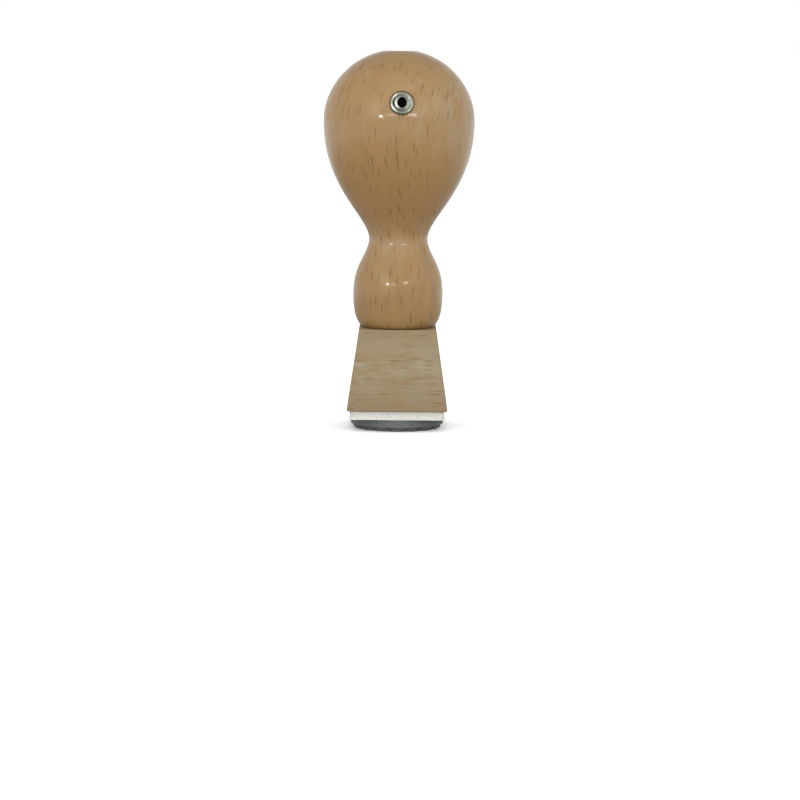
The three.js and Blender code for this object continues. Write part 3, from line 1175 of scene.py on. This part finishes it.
@dataclass
class Cushioning:
    """The foam cushion and the adhesive films over and under it. Sizes in mm."""

    side: float = 19.0
    corner: float = 1.0
    waist: float = 0.16  # how far the cut sides draw in between the films
    raggedness: float = 0.07  # of the cells along the cut
    seed: int = 19  # of the cells' bite
    film_round: float = 0.04
    die_radius: float = 9.3
    keep: float = 0.6875  # of the foam's thickness, when the die is pressed all the way in

    def build_foam(self) -> Object:
        """Cuts the foam: sides drawn in between the films, with the ragged bite of the cells.

        Returns:
            The cushion.
        """
        low, high = span_of("cushion")
        chance = random.Random(self.seed)
        levels = 9
        rings: list[Points] = []
        hollow = ragged = 0.0

        def bite() -> float:
            """Gives how far the next point of the cut is drawn in, in mm."""
            return hollow + ragged * chance.random() ** 2

        for level in range(levels + 1):
            share = level / levels
            hollow = self.waist * 4 * share * (1 - share)
            ragged = self.raggedness if 0 < level < levels else 0.0
            rings.append(rounded_square(self.side, self.corner, low + (high - low) * share, 12, bite))
        return solid("foam_cushion", stacked(rings))

    def square_edge(self, inset: float, height: float) -> Points:
        """Draws the cushion's outline, drawn in by an inset, at a height, all in mm."""
        return rounded_square(self.side - 2 * inset, self.corner, height, 6)

    def round_edge(self, inset: float, height: float) -> Points:
        """Draws the die's outline, drawn in by an inset, at a height, all in mm."""
        return ring(self.die_radius - inset, height, FINE_ROUND)

    def build(self) -> None:
        """Builds and dresses the cushion and both films."""
        foam = dress(self.build_foam(), CutFoam(), Body.STAMP, "cushion")
        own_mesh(foam)
        soft = self.film_round
        for name, node, edge_at, body in (
            ("mount_film", "mount_tape", self.square_edge, Body.STAMP),
            ("die_film", "die_tape", self.round_edge, Body.DIE),
        ):
            low, high = span_of(node)
            levels = ((soft, low), (0.0, low + soft), (0.0, high - soft), (soft, high))
            film = solid(name, stacked([edge_at(inset, height) for inset, height in levels]))
            dress(film, AdhesiveFilm(), body, node)


@dataclass
class RubberDie:
    """The rubber die: a scalloped border round a flower with dots between its petals. Sizes in mm."""

    radius: float = 9.3
    relief: float = 0.8
    shoulder: float = 0.19  # how far a raised shape has spread where its fillet starts
    fillet: float = 0.16
    face_round: float = 0.03
    border_radius: float = 8.6
    scallops: int = 16
    scallop_depth: float = 0.55
    border_width: float = 0.75
    petals: int = 8
    petal_inner: float = 2.35
    petal_outer: float = 6.35
    petal_width: float = 1.7
    dot_radius: float = 0.5
    eye_radius: float = 1.4
    rim_round: float = 0.06

    def levels(self) -> Outline:
        """Draws the side that all raised shapes have.

        Returns:
            Each (spread, height) in mm, from the face to the root.
        """
        drawn = [(-self.face_round, 0.0), (0.0, self.face_round), (self.shoulder, self.relief - self.fillet)]
        steps = 4
        for step in range(1, steps + 1):
            angle = pi / 2 * step / steps
            spread = self.shoulder + self.fillet * (1 - cos(angle))
            drawn.append((spread, self.relief - self.fillet * (1 - sin(angle))))
        return drawn

    def scalloped_edge(self, spread: float) -> Points:
        """Draws the border's outside.

        Args:
            spread: how far it is spread outwards, in mm.

        Returns:
            Its points.
        """
        half_pitch = pi / self.scallops
        notch = self.border_radius - self.scallop_depth
        centre = (self.border_radius**2 - notch**2) / (2 * (self.border_radius - notch * cos(half_pitch)))
        radius = self.border_radius - centre + spread
        along = centre * cos(half_pitch) + sqrt(radius**2 - (centre * sin(half_pitch)) ** 2)
        half_arc = atan2(along * sin(half_pitch), along * cos(half_pitch) - centre)
        steps = 14
        points = []
        for scallop in range(self.scallops):
            facing = Matrix.Rotation(2 * half_pitch * scallop, 3, "Z")
            for step in range(steps):
                angle = half_arc * (2 * step / steps - 1)
                points.append(facing @ Vector((centre + radius * cos(angle), radius * sin(angle), 0)))
        return points

    def petal_edge(self, index: int, spread: float) -> Points:
        """Draws one petal's edge.

        Args:
            index: which petal.
            spread: how far its edge is spread outwards, in mm.

        Returns:
            Its points.
        """
        facing = Matrix.Rotation(tau * index / self.petals, 3, "Z")
        middle = Vector(((self.petal_inner + self.petal_outer) / 2, 0, 0))
        half_length, half_width = (self.petal_outer - self.petal_inner) / 2, self.petal_width / 2
        points = []
        for turn in ring(1.0, 0.0, SHAPE_ROUND):
            outward = Vector((half_width * turn.x, half_length * turn.y, 0)).normalized()
            point = middle + Vector((half_length * turn.x, half_width * turn.y, 0))
            points.append(facing @ (point + spread * outward))
        return points

    def raise_shape(self, shape: BMesh, edges: Sequence[Points]) -> tuple[list, list]:
        """Raises one shape's side from its root to its face.

        Args:
            shape: what the faces are added to.
            edges: its flat edge at each of the levels.

        Returns:
            The vertices round its face, and round its root.
        """
        rises = (Vector((0, 0, height)) for _, height in self.levels())
        rows = skin(shape, [[point + rise for point in edge] for edge, rise in zip(edges, rises)])
        return rows[0], rows[-1]

    @staticmethod
    def fill(shape: BMesh, loops: Sequence[Sequence[BMVert]]) -> None:
        """Fills the flat area between an outer loop and what lies inside it.

        Args:
            shape: what the faces are added to.
            loops: the vertices round the area and round each hole in it.
        """
        edges = []
        for loop in loops:
            for here, after in zip(loop, [*loop[1:], loop[0]]):
                edges.append(shape.edges.get((here, after)) or shape.edges.new((here, after)))
        bmesh.ops.triangle_fill(shape, use_beauty=True, edges=edges)

    def build(self) -> None:
        """Builds and dresses the die."""
        shape = bmesh.new()
        inner = self.border_radius - self.scallop_depth - self.border_width
        spreads = [spread for spread, _ in self.levels()]
        hole = [ring(inner - spread, 0, FINE_ROUND) for spread in spreads]
        eye = [ring(self.eye_radius + spread, 0, SHAPE_ROUND) for spread in spreads]
        dot = [ring(self.dot_radius + spread, 0, DOT_ROUND) for spread in spreads]
        scallops = [self.scalloped_edge(spread) for spread in spreads]
        border_face, border_root = self.raise_shape(shape, scallops)
        hole_face, hole_root = self.raise_shape(shape, hole)
        inside = [self.raise_shape(shape, eye)]
        for index in range(self.petals):
            inside.append(self.raise_shape(shape, [self.petal_edge(index, spread) for spread in spreads]))
            facing = tau * (index + 0.5) / self.petals
            at = (self.petal_outer - self.dot_radius) * Vector((cos(facing), sin(facing), 0))
            inside.append(self.raise_shape(shape, [[at + point for point in edge] for edge in dot]))
        self.fill(shape, [border_face, hole_face])
        for face, _ in inside:
            shape.faces.new(face)
        _, top = span_of("rubber_die")
        rim = ((1, self.relief), (0, self.relief + self.rim_round), (0, top - self.rim_round), (1, top))
        rings = [ring(self.radius - ease * self.rim_round, height, FINE_ROUND) for ease, height in rim]
        rows = skin(shape, rings)
        shape.faces.new(rows[-1])
        self.fill(shape, [rows[0], border_root])
        self.fill(shape, [hole_root, *(root for _, root in inside)])
        dress(solid("flower_die", shape, crease=40), EngravedRubber(), Body.DIE, "rubber_die")


# The studio


@dataclass
class Lamp:
    """A small rectangular lamp aimed at the ball. Angles in degrees, sizes in mm."""

    name: str
    azimuth: float  # from the front, positive to the right
    elevation: float
    wide: float
    tall: float
    radiance: float
    distance: float = 600.0
    aim: Triple = (0.0, 0.0, 55.0)

    def build(self) -> None:
        """Hangs the lamp."""
        round_by, up_by = radians(self.azimuth), radians(self.elevation)
        level = cos(up_by)
        away = Vector((sin(round_by) * level, -cos(round_by) * level, sin(up_by)))
        light = bpy.data.lights.new(self.name, "AREA")
        light.shape = "RECTANGLE"
        light.size, light.size_y = self.wide * MM, self.tall * MM
        light.energy = self.radiance * pi * light.size * light.size_y
        lamp = bpy.data.objects.new(self.name, light)
        lamp.location = (Vector(self.aim) + self.distance * away) * MM
        lamp.rotation_euler = away.to_track_quat("Z", "Y").to_euler()
        bpy.context.scene.collection.objects.link(lamp)


@dataclass(frozen=True)
class Window:
    """A bright, soft patch of the room in front of the stamp, seen in its gloss only."""

    middle: Pair  # X and Z of its direction
    reach: Pair  # how far from there it has faded out
    extra: float  # how much brighter than the room it is


@dataclass
class Studio:
    """The pale floor, the soft surrounding light, the two lamps and the camera."""

    front: float = 1.47  # how bright the room is in front of the stamp, for lighting
    back: float = 0.89  # and beside and behind it
    overhead: float = 0.9  # how much of that is left straight above
    front_gloss: float = 0.75  # the same, as it looks in reflections
    edge_gloss: float = 0.72  # round the far edge of the floor
    top_gloss: float = 0.32  # above and behind
    windows: tuple[Window, ...] = (
        Window(middle=(-0.58, 0.34), reach=(0.36, 0.38), extra=1.2),
        Window(middle=(0.66, 0.34), reach=(0.42, 0.36), extra=0.6),
        Window(middle=(-0.2, 0.225), reach=(0.24, 0.045), extra=5.0),  # a bright sill between them
    )
    lamps: tuple[Lamp, ...] = (
        Lamp("left_lamp", azimuth=-27.4, elevation=10.6, wide=48, tall=34, radiance=30),
        Lamp("right_lamp", azimuth=20.6, elevation=13.5, wide=130, tall=36, radiance=8.8),
    )
    floor_seen: float = 1.3
    floor_in_gloss: float = 0.9
    shaded_in_gloss: float = 0.3  # of the floor close to the stamp: a painted shadow that only reflections see
    shade_middle: Triple = (-45.0, 0.0, 0.0)  # mm
    shade_reach: Pair = (40.0, 350.0)  # mm from there to where the floor brightens and is open
    floor_lighting: float = 0.5
    focal_length: float = 135.0
    sensor: float = 36.0
    camera_place: Triple = (0.59, -600.0, 79.0)  # mm
    camera_pitch: float = 7.0  # degrees down
    camera_roll: float = 0.44

    @staticmethod
    def by_ray(add: Adder, gloss: Node, lighting: Node | float, seen: float) -> Node:
        """Picks a brightness by what looks at it.

        Args:
            add: adds a node to the tree.
            gloss: what reflections see.
            lighting: what lights the stamp.
            seen: what the camera sees, also through clear things.

        Returns:
            The node that gives the brightness.
        """
        path = add("LightPath")
        mirrored = add("Mix", path.outputs["Is Glossy Ray"], lighting, gloss)
        looked = add("Math.MAXIMUM", path.outputs["Is Camera Ray"], path.outputs["Is Transmission Ray"])
        return add("Mix", looked, mirrored, seen)

    def build_world(self) -> None:
        """Makes the surrounding light: white to look at, soft on the stamp, and a room in its gloss."""
        world = bpy.data.worlds.new("studio")
        world.use_nodes = True
        world.node_tree.nodes.clear()
        add = partial(add_node, world.node_tree)
        axes = add("SeparateXYZ", add("TexCoord").outputs["Generated"])
        depth, height = axes.outputs["Y"], axes.outputs["Z"]
        # the last four make what gloss sees: a pale ring round the floor's edge, and darker above and behind
        ramps = (
            (depth, -1.0, 0.2, self.front, self.back),
            (height, 0.3, 1.0, 1.0, self.overhead),
            (depth, -0.3, 0.7, self.front_gloss, self.edge_gloss),
            (depth, -0.4, 0.2, self.front_gloss, self.top_gloss),
            (height, 0.1, 0.65, 0.0, 1.0),
            (depth, -0.1, 0.35, 1.0, 0.0),
        )
        level, cover, low, high, rise, in_front = (add("MapRange.SMOOTHSTEP", *ramp) for ramp in ramps)
        lighting = add("Math.MULTIPLY", level, cover)
        gloss = add("Mix", rise, low, high)
        for window in self.windows:
            patch = in_front
            for axis, middle, reach in zip("XZ", window.middle, window.reach):
                band = soft_band(add, axes.outputs[axis], middle, reach)
                patch = add("Math.MULTIPLY", patch, band)
            gloss = add("Math.MULTIPLY_ADD", patch, window.extra, gloss)
        add("OutputWorld", add("Background", "#FFFFFF", self.by_ray(add, gloss, lighting, 1.0)))
        bpy.context.scene.world = world

    def build_floor(self) -> None:
        """Lays the floor: white to look at, pale in reflections with a painted shadow round the stamp there,
        and pale grey as it lights the stamp.
        """
        shape = bmesh.new()
        half = 6000.0
        corners = ((-1, -1), (1, -1), (1, 1), (-1, 1))
        shape.faces.new([shape.verts.new((x * half, y * half, 0)) for x, y in corners])
        floor = solid("pale_floor", shape)
        material, add, shader, place = blank_material("painted_board_matt", "BsdfDiffuse")
        # a painted shadow round the stamp, darker in reflections near it
        away = add("VectorMath.DISTANCE", place, self.shade_middle)
        near, far = self.shade_reach
        gloss = add("MapRange.SMOOTHSTEP", away, near, far, self.shaded_in_gloss, self.floor_in_gloss)
        fill_sockets(shader, {"Color": self.by_ray(add, gloss, self.floor_lighting, self.floor_seen)})
        floor.data.materials.append(material)

    def build_camera(self) -> None:
        """Sets up the camera in front of the stamp, a little above it, looking slightly down."""
        data = bpy.data.cameras.new("camera")
        data.lens, data.sensor_width = self.focal_length, self.sensor
        data.clip_start, data.clip_end = 0.01, 50.0
        camera = bpy.data.objects.new("camera", data)
        pitch, roll = radians(90 - self.camera_pitch), radians(self.camera_roll)
        turn = Matrix.Rotation(pitch, 4, "X") @ Matrix.Rotation(roll, 4, "Z")
        camera.matrix_world = Matrix.Translation(Vector(self.camera_place) * MM) @ turn
        bpy.context.scene.collection.objects.link(camera)
        bpy.context.scene.camera = camera

    def build(self) -> None:
        """Builds the whole studio."""
        bpy.context.scene.view_settings.view_transform = "Standard"
        self.build_world()
        self.build_floor()
        for lamp in self.lamps:
            lamp.build()
        self.build_camera()


def save_sizes() -> None:
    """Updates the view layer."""
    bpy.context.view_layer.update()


def main() -> None:
    """Builds the stamp from the printing face up, then the studio."""
    logging.basicConfig(level=logging.INFO, format="%(message)s")
    for part in (RubberDie(), Cushioning(), Mount(), HandleAssembly(), Studio()):
        part.build()
    save_sizes()


if __name__ == "__main__":
    main()
